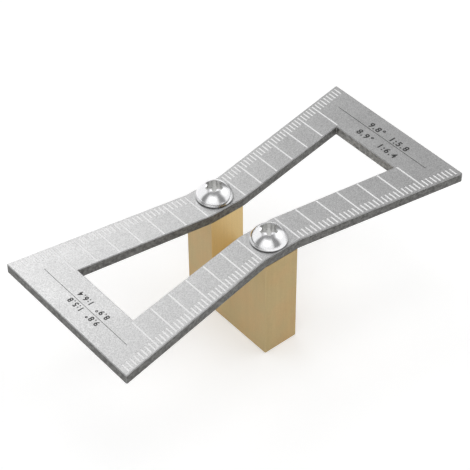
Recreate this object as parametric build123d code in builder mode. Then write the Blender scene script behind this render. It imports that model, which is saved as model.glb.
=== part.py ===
from build123d import *
import os

# Dovetail marker: a graduated bow-tie plate, held by two screws on top of a notched fence block.
# Millimetres, +Z up. The origin is the centre of the block's foot. X runs along the plate.

# Plate
plate_length = 88.5
plate_thickness = 2.3
end_width = 39.3
waist_width = 25.4
window_length = 69.0
window_end_width = 17.9
window_waist_width = 8.4
corner_radius = 0.3
window_corner_radius = 0.15
plate_edge_break = 0.15

# Fence block, as wide as the plate's waist
block_height = 25.0
block_thickness = 8.5
notch_depth = 11.0
notch_step = 0.3
notch_floor_radius = 0.8
block_edge_break = 0.15

# Round-head screws. The head is the top of an ellipsoid, whose middle lies under the plate's top.
thread_diameter = 4.0
screw_length = 8.0
head_diameter = 8.0
head_height = 3.2
head_middle_depth = 0.4
head_edge_break = 0.18
tip_chamfer = 0.5
recess_diameter = 3.9
recess_flute_radius = 0.65
recess_waist_diameter = 2.85
recess_depth = 2.0
recess_lobes = 6
recess_turn = -9.4

# Holes for the screws
plate_hole_clearance = 0.25
thread_clearance = 0.03
tapped_depth = 8.0
tapped_mouth = 0.3
drill_point = 1.1

# Graduations, cut in the plate's top face
mark_depth = 0.1
tick_pitch = 1.0
ticks_per_line = 5
tick_width = 0.38
tick_length = 2.2
tick_margin = 0.5
line_width = 0.4
line_margin = 0.25
end_line_width = 0.16
end_line_length = 27.0

# Heights and places that follow from the sizes
plate_top = block_height + plate_thickness
flat_half = block_thickness / 2
half_length = plate_length / 2
window_half = window_length / 2
notch_width = window_waist_width + 2 * notch_step
screw_offset = (waist_width + notch_width) / 4
outer_slope = (end_width - waist_width) / 2 / (half_length - flat_half)
inner_slope = (window_end_width - window_waist_width) / 2 / (window_half - flat_half)


def outer_half(x):
    """Half the plate's width at x: a flat over the block, then a straight slope to the end."""
    return waist_width / 2 + outer_slope * max(0, x - flat_half)


def inner_half(x):
    """Half the window's width at x, level with its corner in the end bar."""
    return window_waist_width / 2 + inner_slope * max(0, min(x, window_half) - flat_half)


def bow_tie(half, waist_half, end_half):
    """The closed outline of a bow tie whose waist has a short flat as long as the block is thick."""
    right_side = [(flat_half, waist_half), (half, end_half), (half, -end_half), (flat_half, -waist_half)]
    left_side = [(-x, -y) for x, y in right_side]
    return Polyline(*right_side, *left_side, close=True)


def four_corners(x, y):
    """The same place on all four arms."""
    return [(x, y), (-x, y), (-x, -y), (x, -y)]


# Plate
last_tick = int((half_length - tick_margin) // tick_pitch)
last_line = int((window_half + tick_pitch) // (tick_pitch * ticks_per_line)) * ticks_per_line

with BuildPart() as marking_plate:
    with BuildSketch(Plane.XY.offset(block_height)):
        with BuildLine():
            bow_tie(half_length, waist_width / 2, end_width / 2)
        make_face()
        with BuildLine():
            bow_tie(window_half, window_waist_width / 2, window_end_width / 2)
        make_face(mode=Mode.SUBTRACT)
    extrude(amount=plate_thickness)

    bar_middle = (half_length + window_half) / 2
    upright_edges = marking_plate.edges().filter_by(Axis.Z)
    outer_corners = upright_edges.filter_by(lambda edge: abs(edge.center().X) > bar_middle)
    window_corners = upright_edges.filter_by(lambda edge: 2 * flat_half < abs(edge.center().X) < bar_middle)
    fillet(outer_corners, corner_radius)
    fillet(window_corners, window_corner_radius)
    flat_faces = marking_plate.faces().filter_by(Axis.Z)
    chamfer(flat_faces.edges(), plate_edge_break)

    with Locations((0, screw_offset, plate_top), (0, -screw_offset, plate_top)):
        Hole(thread_diameter / 2 + plate_hole_clearance, depth=plate_thickness)

    # Short ticks along the outer edges, but for the places of the long lines
    with BuildSketch(Plane.XY.offset(plate_top)) as marks:
        tick_places = []
        for tick in range(ticks_per_line, last_tick + 1):
            x = tick * tick_pitch
            outer_end = outer_half(x) - tick_margin
            if tick % ticks_per_line == 0 and tick <= last_line:
                inner_end = inner_half(x) + line_margin
                with Locations(*four_corners(x, (outer_end + inner_end) / 2)):
                    Rectangle(line_width, outer_end - inner_end)
            else:
                tick_places += four_corners(x, outer_end - tick_length / 2)
        with Locations(*tick_places):
            Rectangle(tick_width, tick_length)
        # The scribed line along the middle of each end bar
        with Locations((bar_middle, 0), (-bar_middle, 0)):
            Rectangle(end_line_width, end_line_length)
    extrude(marks.sketch, amount=-mark_depth, mode=Mode.SUBTRACT)


# Fence block: a square notch between two legs, with a blind tapped hole down each leg
with BuildPart() as fence_block:
    with BuildSketch(Plane.YZ) as block_profile:
        Rectangle(waist_width, block_height, align=(Align.CENTER, Align.MIN))
        with Locations((0, block_height)):
            Rectangle(notch_width, notch_depth, align=(Align.CENTER, Align.MAX), mode=Mode.SUBTRACT)
        notch_corners = block_profile.vertices().group_by(Axis.Y)[1]
        fillet(notch_corners, notch_floor_radius)
    extrude(amount=block_thickness / 2, both=True)

    upright_edges = fence_block.edges().filter_by(Axis.Z).group_by(SortBy.LENGTH)[-1]
    foot_edges = fence_block.faces().sort_by(Axis.Z)[0].edges()
    chamfer(upright_edges + foot_edges, block_edge_break)

    tapped_radius = thread_diameter / 2 + thread_clearance
    for side in (-1, 1):
        hole_plane = Plane(origin=(0, side * screw_offset, block_height), x_dir=(1, 0, 0), z_dir=(0, -1, 0))
        with BuildSketch(hole_plane):
            with BuildLine():
                Polyline(
                    (0, 0),
                    (tapped_radius + tapped_mouth, 0),
                    (tapped_radius, -tapped_mouth),
                    (tapped_radius, -tapped_depth),
                    (0, -tapped_depth - drill_point),
                    close=True,
                )
            make_face()
        revolve(axis=Axis(hole_plane.origin, (0, 0, 1)), mode=Mode.SUBTRACT)


def make_screw(y):
    """A round-head screw with a lobed drive recess, its head seated on the plate at y."""
    seat = Plane(origin=(0, y, plate_top), x_dir=(1, 0, 0), z_dir=(0, -1, 0))
    thread_radius = thread_diameter / 2
    head_radius = head_diameter / 2
    with BuildPart() as screw:
        with BuildSketch(seat):
            with BuildLine():
                Polyline((0, head_height), (0, -head_middle_depth), (head_radius, -head_middle_depth))
                EllipticalCenterArc(
                    (0, -head_middle_depth),
                    head_radius,
                    head_height + head_middle_depth,
                    start_angle=0,
                    arc_size=90,
                )
            make_face()
            Rectangle(head_radius, head_height, align=(Align.MIN, Align.MAX), mode=Mode.SUBTRACT)
        revolve(axis=Axis(seat.origin, (0, 0, 1)))
        chamfer(screw.edges().sort_by(Axis.Z)[0], head_edge_break)

        with BuildSketch(seat):
            with BuildLine():
                Polyline(
                    (0, 0),
                    (0, -screw_length),
                    (thread_radius - tip_chamfer, -screw_length),
                    (thread_radius, -screw_length + tip_chamfer),
                    (thread_radius, 0),
                    close=True,
                )
            make_face()
        revolve(axis=Axis(seat.origin, (0, 0, 1)))

        with BuildSketch(Plane.XY.offset(plate_top + head_height)) as recess:
            with Locations((0, y)):
                Circle(recess_diameter / 2)
                flute_circle = recess_waist_diameter / 2 + recess_flute_radius
                flute_turn = recess_turn + 180 / recess_lobes
                with PolarLocations(flute_circle, recess_lobes, start_angle=flute_turn):
                    Circle(recess_flute_radius, mode=Mode.SUBTRACT)
        extrude(recess.sketch, amount=-recess_depth, mode=Mode.SUBTRACT)
    return screw.part


pieces = {
    "marking_plate": marking_plate.part,
    "fence_block": fence_block.part,
    "front_screw": make_screw(-screw_offset),
    "rear_screw": make_screw(screw_offset),
}
os.makedirs("parts", exist_ok=True)
for name, piece in pieces.items():
    piece.label = name
    export_step(piece, f"parts/{name}.step")
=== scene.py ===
"""Finishes, filled graduations and number rows of a bow-tie dovetail marker, around its packed CAD frame."""

import math

import bpy
import numpy as np
from mathutils import Matrix, Vector


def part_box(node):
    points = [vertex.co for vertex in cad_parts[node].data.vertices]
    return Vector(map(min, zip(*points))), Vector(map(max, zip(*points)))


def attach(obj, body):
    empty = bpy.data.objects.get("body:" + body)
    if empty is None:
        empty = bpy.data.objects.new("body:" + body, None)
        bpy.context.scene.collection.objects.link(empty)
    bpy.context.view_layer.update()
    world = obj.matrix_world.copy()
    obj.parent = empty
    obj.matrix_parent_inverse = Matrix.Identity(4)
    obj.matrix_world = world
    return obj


bl_info = {
    "name": "Dovetail Marker",
    "version": (1, 0, 0),
    "blender": (4, 5, 0),
    "location": "View3D > Sidebar > Dovetail Marker",
    "description": "Finishes, graduations and numbers of a bow-tie dovetail marker on a pale studio floor",
    "category": "Object",
}

MM = 0.001
ROOT = "root"

# The frame, and the sizes that it gives
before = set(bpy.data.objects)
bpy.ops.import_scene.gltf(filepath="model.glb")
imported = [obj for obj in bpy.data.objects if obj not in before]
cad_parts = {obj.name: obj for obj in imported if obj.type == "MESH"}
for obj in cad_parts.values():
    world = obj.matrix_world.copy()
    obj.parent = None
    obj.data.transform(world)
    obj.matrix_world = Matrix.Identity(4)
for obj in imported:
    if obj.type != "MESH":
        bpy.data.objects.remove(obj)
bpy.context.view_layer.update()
PLATE_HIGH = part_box("marking_plate")[1]
BLOCK_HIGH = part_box("fence_block")[1]
PLATE_TOP = PLATE_HIGH.z
SCREWS = ("front_screw", "rear_screw")
SCREW_OFFSET = sum(corner.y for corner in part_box("rear_screw")) / 2

# The plate's window and its grooves, as the plate is cut. Grooves under the narrowest filled width stay bare.
WINDOW_HALF_LENGTH = 34.5 * MM
WINDOW_END_HALF = 8.95 * MM
WINDOW_WAIST_HALF = 4.2 * MM
GROOVE_DEPTH = 0.1 * MM
NARROWEST_FILLED = 0.2 * MM

# The block's notch, as the block is cut
NOTCH_HALF_WIDTH = 4.5 * MM
NOTCH_FLOOR = 14.0 * MM

# The screw heads' dome and drive recess, as the screws are cut, and the heights of the painted shade, a dark
# line, at the seat
HEAD_RADIUS = 4.0 * MM
DOME_HEIGHT = 3.6 * MM
DOME_MIDDLE = PLATE_TOP - 0.4 * MM
RECESS_RADIUS = 1.95 * MM
RECESS_MARGIN = 1.02
RECESS_DEPTHS = (0.03 * MM, 0.2 * MM)
SEAT_SHADE_HEIGHTS = (PLATE_TOP + 0.15 * MM, PLATE_TOP + 0.4 * MM)

# A material's tests of place go past a size by this much
TOLERANCE = 0.01 * MM

# The enamel's gap to the groove's sides and ends, and how far its middle sinks
FILL_MARGIN = 0.004 * MM
FILL_DIP = 0.02 * MM

# The two slopes of the plate, as length along for one across
OUTER_RATIO = (PLATE_HIGH.x - BLOCK_HIGH.x) / (PLATE_HIGH.y - BLOCK_HIGH.y)
INNER_RATIO = (WINDOW_HALF_LENGTH - BLOCK_HIGH.x) / (WINDOW_END_HALF - WINDOW_WAIST_HALF)

# The number rows: side of the plate, middle in X and Y, size as a share of the digit height, and slope
ROW_PLACES = (
    ("right_outer_row", 1, 40.65 * MM, -1.0 * MM, 1.0, OUTER_RATIO),
    ("right_inner_row", 1, 37.2 * MM, -0.9 * MM, 1.0, INNER_RATIO),
    ("left_inner_row", -1, 38.0 * MM, -1.0 * MM, 0.8, INNER_RATIO),
    ("left_outer_row", -1, 40.45 * MM, -1.0 * MM, 0.8, OUTER_RATIO),
)

# The letters at a size of 1: spacing, added stroke weight, steps of a curve, and decimals kept of a place
LETTER_SPACING = 1.25
LETTER_WEIGHT = 0.028
LETTER_STEPS = 4
LETTER_DECIMALS = 5

# Where a noise texture's values lie: nearly all of them, and most of them
NOISE_ALL = (0.3, 0.7)
NOISE_MOST = (0.35, 0.65)

# Grain, edge wear and handling, which the finishes share. A tilt is the size of a part of the normal.
COARSE_GRAIN_SCALE = 0.35
COARSE_GRAIN_SHARE = 0.2
GRAIN_GAIN = 4.0
EDGE_TILT = (0.80, 0.95)
WEAR_PATCHES = (0.35, 0.60)
WEAR_AMOUNTS = (0.6, 1.0)
SMUDGE_LEVELS = (0.45, 0.70)
SCRATCH_LEVELS = (0.66, 0.72)
SCRATCH_TURN = (0.3, 0.5, 0.7)
SCRATCH_STRETCH = (1.0, 0.06, 1.0)

# The plate: tilts that tell its faces from its walls, mottle of the walls, and what adds to the roughness
FACE_TILT = (0.3, 0.6)
GROOVE_FLOOR_TILT = (0.5, 0.9)
END_TILT = 0.9
MOTTLE_SCALE = 1500.0
MOTTLE_TONES = (0.7, 1.35)
PLATE_WEAR = 1.0
PLATE_SMUDGE_ROUGH = -0.05
PLATE_GRAIN_ROUGH = 0.06
PLATE_RELIEF = 0.012 * MM

# The block: milling marks drawn out upwards, wider bands, reddish clouds, and what adds to the roughness
MILLING_STRETCH = (1.0, 1.0, 0.03)
MILLING_TONES = (0.97, 1.03)
BAND_SCALE = 0.12
BAND_TONES = (0.975, 1.025)
CLOUD_SCALE = 160.0
BRASS_GRAIN = 0.3 * MM
BRASS_GRAIN_CONTRAST = 0.05
BRASS_WEAR = 0.5
BRASS_SMUDGE_ROUGH = 0.08
BRASS_WEAR_ROUGH = -0.12
BRASS_SCRATCH_HEIGHT = -0.5
BRASS_RELIEF = 0.006 * MM

# The screws: fine grain, small marks, and what adds to the roughness
STEEL_GRAIN = 0.2 * MM
STEEL_GRAIN_CONTRAST = 0.04
STEEL_SMUDGE_SCALE = 400.0
STEEL_SCRATCH_SCALE = 2500.0
STEEL_SMUDGE_ROUGH = 0.06
STEEL_RECESS_ROUGH = 0.3
STEEL_SCRATCH_HEIGHT = -0.6
STEEL_RELIEF = 0.001 * MM

# The enamel and the ink: size and contrast of the grain, least roughness, and relief
ENAMEL = {"grain_size": 0.35 * MM, "contrast": 0.12, "roughness": 0.35, "relief": 0.01 * MM}
INK = {"grain_size": 0.25 * MM, "contrast": 0.5, "roughness": 0.5, "relief": 0.005 * MM}
COAT_GRAIN_ROUGH = 0.2

# The floor: radii of its rings in metres, sides of a ring, and the paper's fibres
FLOOR_RADII = (0.3, 1.0, 3.0)
FLOOR_SIDES = 64
FIBRE_SCALE = 600.0
FIBRE_TONES = (0.99, 1.0)
WHITE = (1, 1, 1)

# The camera, solved from the plate's edges in the photograph
CAMERA_TARGET = Vector((-4.39, -3.28, 27.3)) * MM
CAMERA_DISTANCE = 330.4 * MM
CAMERA_PAN = math.radians(39.56)
CAMERA_TILT = math.radians(42.98)
CAMERA_ROLL = math.radians(-0.53)
SENSOR_WIDTH = 36.0

# The lamps: bearing from +Y towards +X and height in degrees, distance and size in metres, power in watts
SOFT_BOXES = {
    "back_left_box": {"bearing": 15, "height": 42, "distance": 0.5, "size": 0.3, "power": 0.15},
    "front_box": {"bearing": 232, "height": 35, "distance": 0.8, "size": 0.6, "power": 0.3},
    "right_box": {"bearing": 114, "height": 38, "distance": 0.8, "size": 0.6, "power": 0.3},
}

# The patches of the sky, in degrees: bearing of the middle, half the width, and lowest and highest height.
# The level is the brightness. A patch that goes over the zenith has no upper edge.
SKY_PATCHES = (
    {"bearing": 230, "half_width": 90, "low": -30, "high": 62, "level": 0.25},
    {"bearing": 30, "half_width": 85, "low": 66, "high": 100, "level": 1.2},
    {"bearing": 352, "half_width": 46, "low": -30, "high": 50, "level": 0.9},
    {"bearing": 322, "half_width": 14, "low": -30, "high": 57, "level": 0.9},
    {"bearing": 114, "half_width": 35, "low": -30, "high": 60, "level": 0.91},
    {"bearing": 232, "half_width": 39, "low": -2, "high": 62, "level": 0.92},
    {"bearing": 62, "half_width": 14, "low": -30, "high": 60, "level": 0.3},
    {"bearing": 50, "half_width": 25, "low": -30, "high": 14, "level": 0.2},
)
ZENITH = 90

# How far a patch's soft edge reaches to each side, in degrees
SKY_EDGE = 10

# Numbers of a Mix node's sockets when it mixes colours
MIX_FACTOR = 0
MIX_FIRST = 6
MIX_SECOND = 7
MIX_RESULT = 2


# Properties

def colour(name, default, description):
    """A colour that the user can change."""
    return bpy.props.FloatVectorProperty(
        name=name, description=description, default=default, size=3, min=0, max=1, subtype="COLOR"
    )


def number(name, default, description, low=0, **kind):
    """A number that the user can change."""
    return bpy.props.FloatProperty(name=name, description=description, default=default, min=low, **kind)


def length(name, default, description):
    """A length in metres that the user can change."""
    return number(name, default, description, precision=5, unit="LENGTH")


def share(name, default, description):
    """A number from 0 to 1 that the user can change."""
    return number(name, default, description, max=1, subtype="FACTOR")


class PlateSettings(bpy.types.PropertyGroup):
    """The marking plate's finish"""

    face_colour: colour("Face", (0.66, 0.66, 0.66), "The blasted top and underside")
    # Partly the sawn finish and partly painted shade: the walls are made much darker than the faces.
    wall_finish_and_shade: colour("Walls", (0.172, 0.171, 0.165), "The sawn outer and inner walls")
    # Painted light: the walls at the window's ends are made lighter than the other walls.
    window_end_painted_light: colour("Window ends", (0.295, 0.295, 0.29), "The lighter walls at the window's ends")
    edge_colour: colour("Edges", (0.28, 0.28, 0.28), "The dull edge breaks")
    scribe_colour: colour("Scribed lines", (0.6, 0.6, 0.6), "The floors of the lines along the end bars")
    grain_size: length("Grain", 0.24 * MM, "Size of the blasted grain")
    grain_contrast: share("Grain contrast", 0.28, "How far the grain's tone spreads")
    roughness: share("Roughness", 0.34, "Mean roughness of the blasted face")
    wall_roughness: share("Wall roughness", 0.62, "Mean roughness of the sawn walls")


class BlockSettings(bpy.types.PropertyGroup):
    """The fence block's finish"""

    brass_colour: colour("Brass", (0.485, 0.366, 0.17), "The milled faces")
    warm_colour: colour("Warm patches", (0.515, 0.36, 0.165), "Where the brass is a little redder")
    # Painted light: the notch's faces are made lighter than the rest of the brass.
    notch_painted_light: colour("Notch", (0.80, 0.603, 0.283), "The freshly cut faces of the notch")
    edge_colour: colour("Edges", (0.50, 0.39, 0.205), "Where handling has polished the edges")
    streak_size: length("Milling marks", 0.35 * MM, "Spacing of the milling marks")
    metallic: share("Metallic", 0.4, "How far the dull brass reflects as a metal")
    roughness: share("Roughness", 0.45, "Mean roughness of the milled faces")


class ScrewSettings(bpy.types.PropertyGroup):
    """The screws' finish"""

    steel_colour: colour("Steel", (0.86, 0.86, 0.87), "The polished heads")
    recess_colour: colour("Recess", (0.83, 0.83, 0.82), "The grey inside of the drive recess")
    # Painted shade: the dark contact shade round the foot of the head, where it meets the plate.
    painted_seat_shade: colour("Seat", (0.12, 0.12, 0.12), "The dark line of old oil round the foot of the head")
    roughness: share("Roughness", 0.15, "Mean roughness of the polished heads")


class MarkSettings(bpy.types.PropertyGroup):
    """The filled graduations and the number rows"""

    fill_colour: colour("Fill", (0.98, 0.98, 0.98), "White enamel in the graduations")
    ink_colour: colour("Ink", (0.035, 0.035, 0.035), "The number rows")
    fill_level: share("Fill level", 0.8, "How much of a groove's depth the enamel fills")
    digit_height: length("Digit height", 1.75 * MM, "Height of the numbers")
    ink_thickness: length("Ink thickness", 0.01 * MM, "How far the numbers stand above the plate")


class StageSettings(bpy.types.PropertyGroup):
    """The floor, the sky and the camera"""

    floor_colour: colour("Floor", (0.94, 0.94, 0.94), "The plain floor")
    floor_glow: share("Floor glow", 0.285, "How much the floor glows where it is seen or mirrored")
    sky_base: share("Sky", 0.345, "Light from the grey parts of the sky")
    sky_strength: number("Sky patches", 1.15, "How bright the patches of the sky are")
    lens: number("Lens", 125.67, "Focal length of the camera", low=1, unit="CAMERA")


SETTINGS = {
    "dovetail_plate": PlateSettings,
    "dovetail_block": BlockSettings,
    "dovetail_screws": ScrewSettings,
    "dovetail_marks": MarkSettings,
    "dovetail_stage": StageSettings,
}


# Shader helpers

def plug(tree, socket, value):
    """A socket linked to another one, or set to a value. A colour gets its alpha."""
    if isinstance(value, bpy.types.NodeSocket):
        tree.links.new(value, socket)
    elif socket.type == "RGBA":
        socket.default_value = (*value, 1)
    else:
        socket.default_value = value


def add_node(tree, kind, inputs=None, **settings):
    """A new node with its settings and its inputs, which are named or numbered."""
    node = tree.nodes.new(kind)
    for name, value in settings.items():
        setattr(node, name, value)
    for name, value in (inputs or {}).items():
        plug(tree, node.inputs[name], value)
    return node


def maths(tree, operation, *values, clamp=False):
    """The result of one Math node."""
    node = add_node(tree, "ShaderNodeMath", dict(enumerate(values)), operation=operation, use_clamp=clamp)
    return node.outputs[0]


def vector_maths(tree, operation, *vectors):
    """One Vector Math node."""
    return add_node(tree, "ShaderNodeVectorMath", dict(enumerate(vectors)), operation=operation)


def multiply(tree, first, second):
    """The product of two values, such as what lies in both of two masks."""
    return maths(tree, "MULTIPLY", first, second)


def scale_add(tree, value, factor, base):
    """The value times a factor, added to a base."""
    return maths(tree, "MULTIPLY_ADD", value, factor, base)


def size_of(tree, value):
    """The value without its sign."""
    return maths(tree, "ABSOLUTE", value)


def ramp(tree, value, limits, results=(0.0, 1.0), smooth=False):
    """The value carried from between two limits to between two results, and held at the ends."""
    inputs = {
        "Value": value,
        "From Min": limits[0],
        "From Max": limits[1],
        "To Min": results[0],
        "To Max": results[1],
    }
    kind = "SMOOTHSTEP" if smooth else "LINEAR"
    return add_node(tree, "ShaderNodeMapRange", inputs, interpolation_type=kind).outputs["Result"]


def split(tree, vector):
    """The X, Y and Z of a vector."""
    return add_node(tree, "ShaderNodeSeparateXYZ", {"Vector": vector}).outputs


def blend_colours(tree, mask, first, second, kind="MIX"):
    """The first colour where the mask is 0, the second where it is 1."""
    inputs = {MIX_FACTOR: mask, MIX_FIRST: first, MIX_SECOND: second}
    return add_node(tree, "ShaderNodeMix", inputs, data_type="RGBA", blend_type=kind).outputs[MIX_RESULT]


def shade(tree, base, tone):
    """A colour made darker or lighter by a tone of about 1."""
    grey = add_node(tree, "ShaderNodeCombineColor", {"Red": tone, "Green": tone, "Blue": tone})
    return blend_colours(tree, 1.0, base, grey.outputs["Color"], kind="MULTIPLY")


def noise(tree, vector, scale, detail=2.0, roughness=0.5):
    """The grey value of a noise texture."""
    inputs = {"Vector": vector, "Scale": scale, "Detail": detail, "Roughness": roughness}
    return add_node(tree, "ShaderNodeTexNoise", inputs).outputs["Fac"]


def stretch(tree, vector, scale, turn=(0, 0, 0)):
    """The vector scaled and turned."""
    inputs = {"Vector": vector, "Rotation": turn, "Scale": scale}
    return add_node(tree, "ShaderNodeMapping", inputs).outputs["Vector"]


def drive(tree, node, **sockets):
    """Link worked-out values to a node's inputs. Underscores in the names stand for spaces."""
    for name, value in sockets.items():
        tree.links.new(value, node.inputs[name.replace("_", " ")])


def bump(tree, height, distance):
    """The normal of a surface with that height."""
    return add_node(tree, "ShaderNodeBump", {"Height": height, "Distance": distance}).outputs["Normal"]


def new_group(name, inputs, outputs):
    """An empty shader node group with number outputs. Each input has a default, or None where it is a vector.

    Returns the group, its input sockets and its output node.
    """
    group = bpy.data.node_groups.new(name, "ShaderNodeTree")
    for socket, default in inputs.items():
        kind = "NodeSocketVector" if default is None else "NodeSocketFloat"
        made = group.interface.new_socket(name=socket, in_out="INPUT", socket_type=kind)
        if default is not None:
            made.default_value = default
    for socket in outputs:
        group.interface.new_socket(name=socket, in_out="OUTPUT", socket_type="NodeSocketFloat")
    entry = group.nodes.new("NodeGroupInput")
    end = group.nodes.new("NodeGroupOutput")
    return group, entry.outputs, end


def grain_group():
    """Grain: fine noise and some coarser. Tone is about 1 and spreads by Contrast, Height is 0 to 1."""
    given_inputs = {"Vector": None, "Scale": 3500.0, "Contrast": 0.1}
    group, given, end = new_group("Grain", given_inputs, ("Tone", "Height"))
    fine = noise(group, given["Vector"], given["Scale"], detail=1.0, roughness=0.6)
    coarse = noise(group, given["Vector"], multiply(group, given["Scale"], COARSE_GRAIN_SCALE))
    both = scale_add(group, coarse, COARSE_GRAIN_SHARE, multiply(group, fine, 1 - COARSE_GRAIN_SHARE))
    centred = maths(group, "SUBTRACT", both, 0.5)
    tone = scale_add(group, centred, multiply(group, given["Contrast"], GRAIN_GAIN), 1.0)
    drive(group, end, Tone=tone, Height=both)
    return group


def edge_wear_group():
    """Edge wear: 1 on an edge break, whose normal leans away from all three axes, broken up by noise."""
    given_inputs = {"Vector": None, "Normal": None, "Amount": 0.7, "Patch scale": 700.0}
    group, given, end = new_group("Edge wear", given_inputs, ("Mask",))
    facing = split(group, given["Normal"])
    sideways = maths(group, "MAXIMUM", size_of(group, facing["X"]), size_of(group, facing["Y"]))
    most = maths(group, "MAXIMUM", sideways, size_of(group, facing["Z"]))
    leaning = ramp(group, most, EDGE_TILT, (1.0, 0.0), smooth=True)
    patches = noise(group, given["Vector"], given["Patch scale"], detail=3.0)
    broken = ramp(group, patches, WEAR_PATCHES, WEAR_AMOUNTS)
    mask = maths(group, "MULTIPLY", multiply(group, leaning, broken), given["Amount"], clamp=True)
    drive(group, end, Mask=mask)
    return group


def handling_group():
    """Handling: soft smudges and a few fine scratches. Both outputs are 0 to 1."""
    given_inputs = {"Vector": None, "Smudge scale": 90.0, "Scratch scale": 500.0}
    group, given, end = new_group("Handling", given_inputs, ("Smudge", "Scratch"))
    cloud = noise(group, given["Vector"], given["Smudge scale"], detail=3.0, roughness=0.6)
    drawn_out = stretch(group, given["Vector"], SCRATCH_STRETCH, SCRATCH_TURN)
    lines = noise(group, drawn_out, given["Scratch scale"], detail=4.0, roughness=0.7)
    smudge = ramp(group, cloud, SMUDGE_LEVELS, smooth=True)
    scratch = ramp(group, lines, SCRATCH_LEVELS)
    drive(group, end, Smudge=smudge, Scratch=scratch)
    return group


def place_group(tree, name, make, **inputs):
    """The outputs of a shared group placed in a material. The group is made when it is first asked for."""
    group = bpy.data.node_groups.get(name) or make()
    named = {socket.replace("_", " "): value for socket, value in inputs.items()}
    return add_node(tree, "ShaderNodeGroup", named, node_tree=group).outputs


def add_grain(tree, place, size, contrast):
    """The grain of a surface, of that size in metres."""
    return place_group(tree, "Grain", grain_group, Vector=place, Scale=1 / size, Contrast=contrast)


def add_edge_wear(tree, place, normal, amount):
    """The wear along a piece's edges."""
    return place_group(tree, "Edge wear", edge_wear_group, Vector=place, Normal=normal, Amount=amount)


def add_handling(tree, place, **scales):
    """The marks that handling leaves."""
    return place_group(tree, "Handling", handling_group, Vector=place, **scales)


def new_material(name, metallic=0.0):
    """A material. Returns the material, its tree, its Principled shader, object coordinates and normal."""
    material = bpy.data.materials.new(name)
    material.use_nodes = True
    tree = material.node_tree
    shader = tree.nodes["Principled BSDF"]
    shader.inputs["Metallic"].default_value = metallic
    place = tree.nodes.new("ShaderNodeTexCoord")
    return material, tree, shader, place.outputs["Object"], place.outputs["Normal"]


def assign(obj, material):
    """The material on the whole object."""
    obj.data.materials.clear()
    obj.data.materials.append(material)


# Materials

def satin_aluminium(settings):
    """Blasted aluminium: bright grained faces, sawn walls darkened with painted shade, painted light on the
    window's end walls, dull edge breaks and grey groove floors.
    """
    material, tree, shader, place, normal = new_material("satin_aluminium", metallic=1.0)
    grain = add_grain(tree, place, settings.grain_size, settings.grain_contrast)
    wear = add_edge_wear(tree, place, normal, PLATE_WEAR)
    touched = add_handling(tree, place)
    at = split(tree, place)
    facing = split(tree, normal)

    is_face = ramp(tree, size_of(tree, facing["Z"]), FACE_TILT)
    groove_level = PLATE_TOP - GROOVE_DEPTH / 2
    is_low = ramp(tree, at["Z"], (groove_level, groove_level + TOLERANCE), (1.0, 0.0))
    in_groove = multiply(tree, is_low, ramp(tree, facing["Z"], GROOVE_FLOOR_TILT))
    is_end = maths(tree, "GREATER_THAN", size_of(tree, facing["X"]), END_TILT)
    in_window = maths(tree, "LESS_THAN", size_of(tree, at["X"]), WINDOW_HALF_LENGTH + TOLERANCE)
    at_window_end = multiply(tree, is_end, in_window)
    mottle = noise(tree, place, MOTTLE_SCALE, detail=3.0, roughness=0.6)

    # Painted shade makes the walls darker than the faces, and painted light makes the window's end walls
    # lighter than the other walls.
    wall = blend_colours(tree, at_window_end, settings.wall_finish_and_shade, settings.window_end_painted_light)
    wall = shade(tree, wall, ramp(tree, mottle, NOISE_MOST, MOTTLE_TONES))
    base = blend_colours(tree, is_face, wall, settings.face_colour)
    base = blend_colours(tree, wear["Mask"], base, settings.edge_colour)
    base = blend_colours(tree, in_groove, base, settings.scribe_colour)
    base = shade(tree, base, grain["Tone"])

    is_blasted = maths(tree, "SUBTRACT", is_face, wear["Mask"], clamp=True)
    rough = ramp(tree, is_blasted, (0.0, 1.0), (settings.wall_roughness, settings.roughness))
    rough = scale_add(tree, touched["Smudge"], PLATE_SMUDGE_ROUGH, rough)
    rough = scale_add(tree, grain["Height"], PLATE_GRAIN_ROUGH, rough)
    relief = bump(tree, grain["Height"], PLATE_RELIEF)
    drive(tree, shader, Base_Color=base, Roughness=rough, Normal=relief)
    return material


def milled_brass(settings):
    """Milled brass: fine upright milling marks, polished edges, a few smudges and scratches, and painted
    light on the notch's faces.
    """
    material, tree, shader, place, normal = new_material("milled_brass", settings.metallic)
    grain = add_grain(tree, place, BRASS_GRAIN, BRASS_GRAIN_CONTRAST)
    wear = add_edge_wear(tree, place, normal, BRASS_WEAR)
    touched = add_handling(tree, place)
    at = split(tree, place)

    drawn_up = stretch(tree, place, MILLING_STRETCH)
    marks = noise(tree, drawn_up, 1 / settings.streak_size, detail=3.0, roughness=0.55)
    bands = noise(tree, drawn_up, BAND_SCALE / settings.streak_size, detail=1.0)
    mark_tone = ramp(tree, marks, NOISE_ALL, MILLING_TONES)
    band_tone = ramp(tree, bands, NOISE_ALL, BAND_TONES)
    tone = multiply(tree, multiply(tree, mark_tone, band_tone), grain["Tone"])
    cloud = ramp(tree, noise(tree, place, CLOUD_SCALE), NOISE_MOST, smooth=True)
    beside = maths(tree, "LESS_THAN", size_of(tree, at["Y"]), NOTCH_HALF_WIDTH + TOLERANCE)
    above = maths(tree, "GREATER_THAN", at["Z"], NOTCH_FLOOR - TOLERANCE)

    base = blend_colours(tree, cloud, settings.brass_colour, settings.warm_colour)
    # Painted light: the faces inside the notch, which the plate shades, get a much lighter colour.
    base = blend_colours(tree, multiply(tree, beside, above), base, settings.notch_painted_light)
    base = blend_colours(tree, wear["Mask"], base, settings.edge_colour)
    base = shade(tree, base, tone)

    rough = scale_add(tree, touched["Smudge"], BRASS_SMUDGE_ROUGH, settings.roughness)
    rough = scale_add(tree, wear["Mask"], BRASS_WEAR_ROUGH, rough)
    height = scale_add(tree, touched["Scratch"], BRASS_SCRATCH_HEIGHT, marks)
    drive(tree, shader, Base_Color=base, Roughness=rough, Normal=bump(tree, height, BRASS_RELIEF))
    return material


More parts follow.
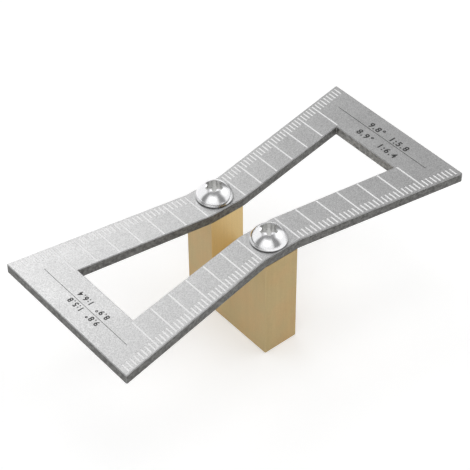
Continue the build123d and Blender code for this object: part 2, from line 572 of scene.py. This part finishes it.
def in_recess(tree, place):
    """1 inside the drive recesses: near a screw's axis, and below the dome's own surface.

    The dome's height over its middle is DOME_HEIGHT times the square root of 1 - (r / HEAD_RADIUS) squared,
    with r the distance from the screw's axis.
    """
    at = split(tree, place)
    across = maths(tree, "SUBTRACT", size_of(tree, at["Y"]), SCREW_OFFSET)
    radius_squared = scale_add(tree, across, across, maths(tree, "POWER", at["X"], 2.0))
    fall = maths(tree, "SUBTRACT", 1.0, maths(tree, "DIVIDE", radius_squared, HEAD_RADIUS**2), clamp=True)
    dome = scale_add(tree, maths(tree, "SQRT", fall), DOME_HEIGHT, DOME_MIDDLE)
    below = ramp(tree, maths(tree, "SUBTRACT", dome, at["Z"]), RECESS_DEPTHS)
    reach = RECESS_RADIUS * RECESS_MARGIN
    near = maths(tree, "LESS_THAN", radius_squared, reach**2)
    return multiply(tree, below, near)


def bright_steel(settings):
    """Polished steel: a clean mirror with faint smudges, a grey, rougher drive recess and painted contact
    shade at the seat.
    """
    material, tree, shader, place, _ = new_material("bright_steel", metallic=1.0)
    grain = add_grain(tree, place, STEEL_GRAIN, STEEL_GRAIN_CONTRAST)
    touched = add_handling(
        tree, place, Smudge_scale=STEEL_SMUDGE_SCALE, Scratch_scale=STEEL_SCRATCH_SCALE
    )
    recess = in_recess(tree, place)
    # Painted shade: the head is darkened just above the plate, where contact shade falls.
    seat = ramp(tree, split(tree, place)["Z"], SEAT_SHADE_HEIGHTS, (1.0, 0.0), smooth=True)

    base = blend_colours(tree, recess, settings.steel_colour, settings.recess_colour)
    base = blend_colours(tree, seat, base, settings.painted_seat_shade)
    base = shade(tree, base, grain["Tone"])

    rough = scale_add(tree, touched["Smudge"], STEEL_SMUDGE_ROUGH, settings.roughness)
    rough = scale_add(tree, recess, STEEL_RECESS_ROUGH, rough)
    height = scale_add(tree, touched["Scratch"], STEEL_SCRATCH_HEIGHT, grain["Height"])
    drive(tree, shader, Base_Color=base, Roughness=rough, Normal=bump(tree, height, STEEL_RELIEF))
    return material


def coat(name, base, grain_size, contrast, roughness, relief):
    """A coat of one colour that is uneven in tone, gloss and height by its grain."""
    material, tree, shader, place, _ = new_material(name)
    grain = add_grain(tree, place, grain_size, contrast)
    toned = shade(tree, base, grain["Tone"])
    rough = scale_add(tree, grain["Height"], COAT_GRAIN_ROUGH, roughness)
    drive(tree, shader, Base_Color=toned, Roughness=rough, Normal=bump(tree, grain["Height"], relief))
    return material


def floor_paper(settings):
    """Pale paper under the object. It glows a little where it is seen or mirrored, and so reads as white."""
    material = bpy.data.materials.new("floor_paper")
    material.use_nodes = True
    tree = material.node_tree
    tree.nodes.clear()
    place = tree.nodes.new("ShaderNodeTexCoord").outputs["Object"]
    tone = ramp(tree, noise(tree, place, FIBRE_SCALE, detail=3.0), NOISE_ALL, FIBRE_TONES)
    paper = add_node(tree, "ShaderNodeBsdfDiffuse", {"Color": shade(tree, settings.floor_colour, tone)})
    ray = tree.nodes.new("ShaderNodeLightPath").outputs
    seen = maths(tree, "MAXIMUM", ray["Is Camera Ray"], ray["Is Glossy Ray"])
    seen = maths(tree, "MAXIMUM", seen, ray["Is Transmission Ray"])
    strength = multiply(tree, seen, settings.floor_glow)
    glow = add_node(tree, "ShaderNodeEmission", {"Color": WHITE, "Strength": strength})
    both = add_node(tree, "ShaderNodeAddShader", {0: paper.outputs["BSDF"], 1: glow.outputs["Emission"]})
    add_node(tree, "ShaderNodeOutputMaterial", {"Surface": both.outputs["Shader"]})
    return material


# Pieces

def new_piece(name, vertices, faces, material):
    """A mesh object at the origin that rides on the marker."""
    mesh = bpy.data.meshes.new(name)
    mesh.from_pydata(vertices.tolist(), [], faces)
    mesh.update()
    piece = bpy.data.objects.new(name, mesh)
    bpy.context.scene.collection.objects.link(piece)
    assign(piece, material)
    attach(piece, ROOT)


def triangle_arrays(mesh):
    """The mesh's points as rows of X, Y and Z, and its triangles as rows of three point numbers."""
    mesh.calc_loop_triangles()
    points = np.empty(len(mesh.vertices) * 3, np.float32)
    corners = np.empty(len(mesh.loop_triangles) * 3, np.int32)
    mesh.vertices.foreach_get("co", points)
    mesh.loop_triangles.foreach_get("vertices", corners)
    return points.reshape(-1, 3), corners.reshape(-1, 3)


def groove_floors():
    """The floors of the graduation grooves, read from the plate's mesh. Returns their low and high corners.

    A triangle is part of a floor if all its corners lie one groove depth under the plate's top. Triangles
    whose middles round to the same half millimetre of X, on the same side of Y, are one groove. The thin
    scribed lines stay unfilled.
    """
    points, corners = triangle_arrays(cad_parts["marking_plate"].data)
    triangles = points.astype(float)[corners]
    level = PLATE_TOP - GROOVE_DEPTH
    floor = triangles[(np.abs(triangles[:, :, 2] - level) < GROOVE_DEPTH / 10).all(axis=1)]
    middles = floor.mean(axis=1)
    keys = np.stack([np.round(2 * middles[:, 0] / MM), np.sign(middles[:, 1])], axis=1)
    grooves, member = np.unique(keys, axis=0, return_inverse=True)
    owner = np.repeat(member.ravel(), 3)
    places = floor[:, :, :2].reshape(-1, 2)
    low = np.full((len(grooves), 2), np.inf)
    high = np.full((len(grooves), 2), -np.inf)
    np.minimum.at(low, owner, places)
    np.maximum.at(high, owner, places)
    wide = (high - low)[:, 0] > NARROWEST_FILLED
    return low[wide], high[wide]


def groove_fill(low, high, fill_level):
    """One closed strip of enamel in each groove.

    The section is a closed loop of points: flat on the groove's floor, and on top a meniscus that sinks as
    1 - t squared towards the middle, with t from -1 to 1 across. The section is carried from end to end.
    """
    across = np.array([-1.0, 1.0, 1.0, 0.5, 0.0, -0.5, -1.0])
    is_top = np.array([0, 0, 1, 1, 1, 1, 1])
    middle = (low[:, 0] + high[:, 0]) / 2
    half = (high[:, 0] - low[:, 0]) / 2 - FILL_MARGIN
    x = middle[:, None] + half[:, None] * across
    lift = is_top * (GROOVE_DEPTH * fill_level - FILL_DIP * (1 - across**2))
    z = np.broadcast_to(PLATE_TOP - GROOVE_DEPTH + lift, x.shape)
    ends = (low[:, 1:] + FILL_MARGIN, high[:, 1:] - FILL_MARGIN)
    rings = np.stack([np.stack([x, np.broadcast_to(y, x.shape), z], axis=2) for y in ends], axis=1)

    count = len(across)
    first = np.arange(count)
    second = (first + 1) % count
    sides = np.stack([second, first, first + count, second + count], axis=1)
    starts = np.arange(len(low)) * 2 * count
    faces = (sides[None] + starts[:, None, None]).reshape(-1, 4).tolist()
    faces += (first[None] + starts[:, None]).tolist()
    faces += (first[::-1][None] + count + starts[:, None]).tolist()
    return rings.reshape(-1, 3), faces


def flat_letters(text):
    """The text as flat triangles, with doubled points merged: points, and rows of three point numbers."""
    curve = bpy.data.curves.new("number_row", "FONT")
    curve.body = text
    curve.size = 1.0
    curve.space_character = LETTER_SPACING
    curve.offset = LETTER_WEIGHT
    curve.resolution_u = LETTER_STEPS
    holder = bpy.data.objects.new("number_row", curve)
    bpy.context.scene.collection.objects.link(holder)
    bpy.context.view_layer.update()
    mesh = bpy.data.meshes.new_from_object(holder.evaluated_get(bpy.context.evaluated_depsgraph_get()))
    points, corners = triangle_arrays(mesh)
    bpy.data.objects.remove(holder)
    bpy.data.curves.remove(curve)
    bpy.data.meshes.remove(mesh)
    places, member = np.unique(points.round(LETTER_DECIMALS), axis=0, return_inverse=True)
    return places, member.ravel()[corners]


def text_solid(text, height, thickness):
    """The text as a thin closed solid of that digit height, centred in X and Y, with its foot at Z 0.

    The flat letters are the foot, turned to face down, and their copy is the top. Each edge that only one
    triangle uses is the letters' outline, and becomes a wall between the two.
    """
    places, top = flat_letters(text)
    low, high = places.min(0), places.max(0)
    flat = (places - (low + high) / 2) * height / (high[1] - low[1])
    count = len(flat)
    edges = np.concatenate([top[:, [0, 1]], top[:, [1, 2]], top[:, [2, 0]]])
    keys = np.sort(edges, axis=1) @ (count, 1)
    _, first, uses = np.unique(keys, return_index=True, return_counts=True)
    rim = edges[first[uses == 1]]
    walls = np.concatenate([rim, rim[:, ::-1] + count], axis=1)
    points = np.concatenate([flat + (0, 0, thickness), flat])
    faces = top.tolist() + (top[:, ::-1] + count).tolist() + walls[:, [1, 0, 3, 2]].tolist()
    return points, faces


def row_text(ratio):
    """The slope as an angle and as a ratio, both to one decimal."""
    return f"{math.degrees(math.atan(1 / ratio)):.1f}°  1:{ratio:.1f}"


# Stage

def make_floor(material):
    """A wide flat disc at the foot's level: rings of points on a grid of radius and angle."""
    angles = np.linspace(0, 2 * math.pi, FLOOR_SIDES, endpoint=False)
    ring = np.stack([np.cos(angles), np.sin(angles), np.zeros_like(angles)], axis=1)
    vertices = (np.array(FLOOR_RADII)[:, None, None] * ring[None]).reshape(-1, 3)
    first = np.arange(FLOOR_SIDES)
    second = (first + 1) % FLOOR_SIDES
    band = np.stack([first, first + FLOOR_SIDES, second + FLOOR_SIDES, second], axis=1)
    starts = np.arange(len(FLOOR_RADII) - 1) * FLOOR_SIDES
    bands = (band[None] + starts[:, None, None]).reshape(-1, 4)
    mesh = bpy.data.meshes.new("studio_floor")
    mesh.from_pydata(vertices.tolist(), [], [first.tolist()] + bands.tolist())
    floor = bpy.data.objects.new("studio_floor", mesh)
    bpy.context.scene.collection.objects.link(floor)
    assign(floor, material)


def make_sky(base, strength):
    """A grey sky with white and dark patches, as of a light tent. A camera sees it as plain white.

    Each patch is a smooth step of its bearing times smooth steps of its lowest and its highest height, and is
    laid over those before it.
    """
    world = bpy.data.worlds.new("studio_sky")
    bpy.context.scene.world = world
    world.use_nodes = True
    tree = world.node_tree
    tree.nodes.clear()
    direction = tree.nodes.new("ShaderNodeTexCoord").outputs["Generated"]
    height = split(tree, direction)["Z"]
    flat = vector_maths(tree, "MULTIPLY", direction, (1, 1, 0)).outputs["Vector"]
    flat = vector_maths(tree, "NORMALIZE", flat).outputs["Vector"]
    light = base
    for patch in SKY_PATCHES:
        half, low, high = patch["half_width"], patch["low"], patch["high"]
        middle = tuple(towards(patch["bearing"], 0))
        nearness = vector_maths(tree, "DOT_PRODUCT", flat, middle).outputs["Value"]
        across = soft_step(tree, nearness, math.cos, half + SKY_EDGE, half - SKY_EDGE)
        above = soft_step(tree, height, math.sin, low - SKY_EDGE, low + SKY_EDGE)
        mask = multiply(tree, across, above)
        if high < ZENITH:
            below = soft_step(tree, height, math.sin, high + SKY_EDGE, high - SKY_EDGE)
            mask = multiply(tree, mask, below)
        change = maths(tree, "SUBTRACT", patch["level"] * strength, light)
        light = scale_add(tree, mask, change, light)
    ray = tree.nodes.new("ShaderNodeLightPath").outputs
    seen = maths(tree, "MAXIMUM", light, ray["Is Camera Ray"])
    seen = maths(tree, "MAXIMUM", seen, ray["Is Transmission Ray"])
    sky = add_node(tree, "ShaderNodeBackground", {"Color": WHITE, "Strength": seen})
    add_node(tree, "ShaderNodeOutputWorld", {"Surface": sky.outputs["Background"]})


def soft_step(tree, value, function, outside, inside):
    """0 at the outside angle and 1 at the inside one, in degrees. The value is an angle's sine or cosine."""
    limits = [function(math.radians(angle)) for angle in (outside, inside)]
    return ramp(tree, value, limits, smooth=True)


def towards(bearing, height):
    """The unit vector with that bearing and height in degrees."""
    turn = math.radians(bearing)
    lift = math.radians(height)
    return Vector((math.sin(turn) * math.cos(lift), math.cos(turn) * math.cos(lift), math.sin(lift)))


def make_soft_box(name, bearing, height, distance, size, power):
    """A round area lamp that looks at the plate's middle."""
    lamp = bpy.data.lights.new(name, "AREA")
    lamp.shape = "DISK"
    lamp.size = size
    lamp.energy = power
    holder = bpy.data.objects.new(name, lamp)
    bpy.context.scene.collection.objects.link(holder)
    direction = towards(bearing, height)
    holder.location = Vector((0, 0, PLATE_TOP)) + direction * distance
    holder.rotation_euler = (-direction).to_track_quat("-Z", "Y").to_euler()
    holder.visible_camera = False


def make_camera(lens):
    """The camera at the photograph's angle: pan from +Y towards +X, tilt down, and a slight roll."""
    data = bpy.data.cameras.new("camera")
    data.lens = lens
    data.sensor_width = SENSOR_WIDTH
    camera = bpy.data.objects.new("camera", data)
    bpy.context.scene.collection.objects.link(camera)
    turn = Matrix.Rotation(-CAMERA_PAN, 4, "Z")
    nod = Matrix.Rotation(math.pi / 2 - CAMERA_TILT, 4, "X")
    lean = Matrix.Rotation(CAMERA_ROLL, 4, "Z")
    rotation = turn @ nod @ lean
    camera.rotation_euler = rotation.to_euler()
    camera.location = CAMERA_TARGET - rotation @ Vector((0, 0, -1)) * CAMERA_DISTANCE
    bpy.context.scene.camera = camera


# Operators

class DOVETAIL_OT_finish_plate(bpy.types.Operator):
    """Give the marking plate its blasted aluminium finish"""

    bl_idname = "dovetail.finish_plate"
    bl_label = "Finish the Plate"

    def execute(self, context):
        assign(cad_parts["marking_plate"], satin_aluminium(context.scene.dovetail_plate))
        return {"FINISHED"}


class DOVETAIL_OT_finish_block(bpy.types.Operator):
    """Give the fence block its milled brass finish"""

    bl_idname = "dovetail.finish_block"
    bl_label = "Finish the Block"

    def execute(self, context):
        assign(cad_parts["fence_block"], milled_brass(context.scene.dovetail_block))
        return {"FINISHED"}


class DOVETAIL_OT_finish_screws(bpy.types.Operator):
    """Give the two screws their polished steel finish"""

    bl_idname = "dovetail.finish_screws"
    bl_label = "Finish the Screws"

    def execute(self, context):
        steel = bright_steel(context.scene.dovetail_screws)
        for name in SCREWS:
            assign(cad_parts[name], steel)
        return {"FINISHED"}


class DOVETAIL_OT_fill_graduations(bpy.types.Operator):
    """Fill the graduation grooves with white enamel"""

    bl_idname = "dovetail.fill_graduations"
    bl_label = "Fill the Graduations"

    def execute(self, context):
        marks = context.scene.dovetail_marks
        low, high = groove_floors()
        if not len(low):
            raise RuntimeError("the plate has no graduation grooves")
        vertices, faces = groove_fill(low, high, marks.fill_level)
        new_piece("graduation_fill", vertices, faces, coat("white_enamel", marks.fill_colour, **ENAMEL))
        return {"FINISHED"}


class DOVETAIL_OT_print_numbers(bpy.types.Operator):
    """Print the rows of plain numbers on the end bars"""

    bl_idname = "dovetail.print_numbers"
    bl_label = "Print the Numbers"

    def execute(self, context):
        marks = context.scene.dovetail_marks
        ink = coat("number_ink", marks.ink_colour, **INK)
        for name, side, x, y, size, ratio in ROW_PLACES:
            points, faces = text_solid(row_text(ratio), marks.digit_height * size, marks.ink_thickness)
            turned = np.stack([points[:, 1], -points[:, 0], points[:, 2]], axis=1)
            placed = turned * (side, side, 1) + (side * x, y, PLATE_TOP)
            new_piece(name, placed, faces, ink)
        return {"FINISHED"}


class DOVETAIL_OT_set_stage(bpy.types.Operator):
    """Set the floor, the lamps, the sky and the camera"""

    bl_idname = "dovetail.set_stage"
    bl_label = "Set the Stage"

    def execute(self, context):
        stage = context.scene.dovetail_stage
        make_floor(floor_paper(stage))
        make_sky(stage.sky_base, stage.sky_strength)
        for name, numbers in SOFT_BOXES.items():
            make_soft_box(name, **numbers)
        make_camera(stage.lens)
        context.scene.view_settings.view_transform = "Standard"
        return {"FINISHED"}


# Panel and start

class DOVETAIL_PT_panel(bpy.types.Panel):
    """Lists the marker's operators and settings"""

    bl_idname = "DOVETAIL_PT_panel"
    bl_label = "Dovetail Marker"
    bl_space_type = "VIEW_3D"
    bl_region_type = "UI"
    bl_category = "Dovetail Marker"

    def draw(self, context):
        for operator in OPERATORS:
            self.layout.operator(operator.bl_idname)
        for name, group in SETTINGS.items():
            box = self.layout.box()
            box.label(text=group.__doc__)
            for field in group.__annotations__:
                box.prop(getattr(context.scene, name), field)


OPERATORS = (
    DOVETAIL_OT_finish_plate,
    DOVETAIL_OT_finish_block,
    DOVETAIL_OT_finish_screws,
    DOVETAIL_OT_fill_graduations,
    DOVETAIL_OT_print_numbers,
    DOVETAIL_OT_set_stage,
)


def register():
    """Make the settings, the operators and the panel known to Blender."""
    for name, group in SETTINGS.items():
        bpy.utils.register_class(group)
        setattr(bpy.types.Scene, name, bpy.props.PointerProperty(type=group))
    for kind in (*OPERATORS, DOVETAIL_PT_panel):
        bpy.utils.register_class(kind)


def unregister():
    """Take the settings, the operators and the panel out again."""
    for kind in reversed((*OPERATORS, DOVETAIL_PT_panel)):
        bpy.utils.unregister_class(kind)
    for name, group in SETTINGS.items():
        delattr(bpy.types.Scene, name)
        bpy.utils.unregister_class(group)


def main():
    register()
    bpy.ops.dovetail.finish_plate()
    bpy.ops.dovetail.finish_block()
    bpy.ops.dovetail.finish_screws()
    bpy.ops.dovetail.fill_graduations()
    bpy.ops.dovetail.print_numbers()
    bpy.ops.dovetail.set_stage()


if __name__ == "__main__":
    main()
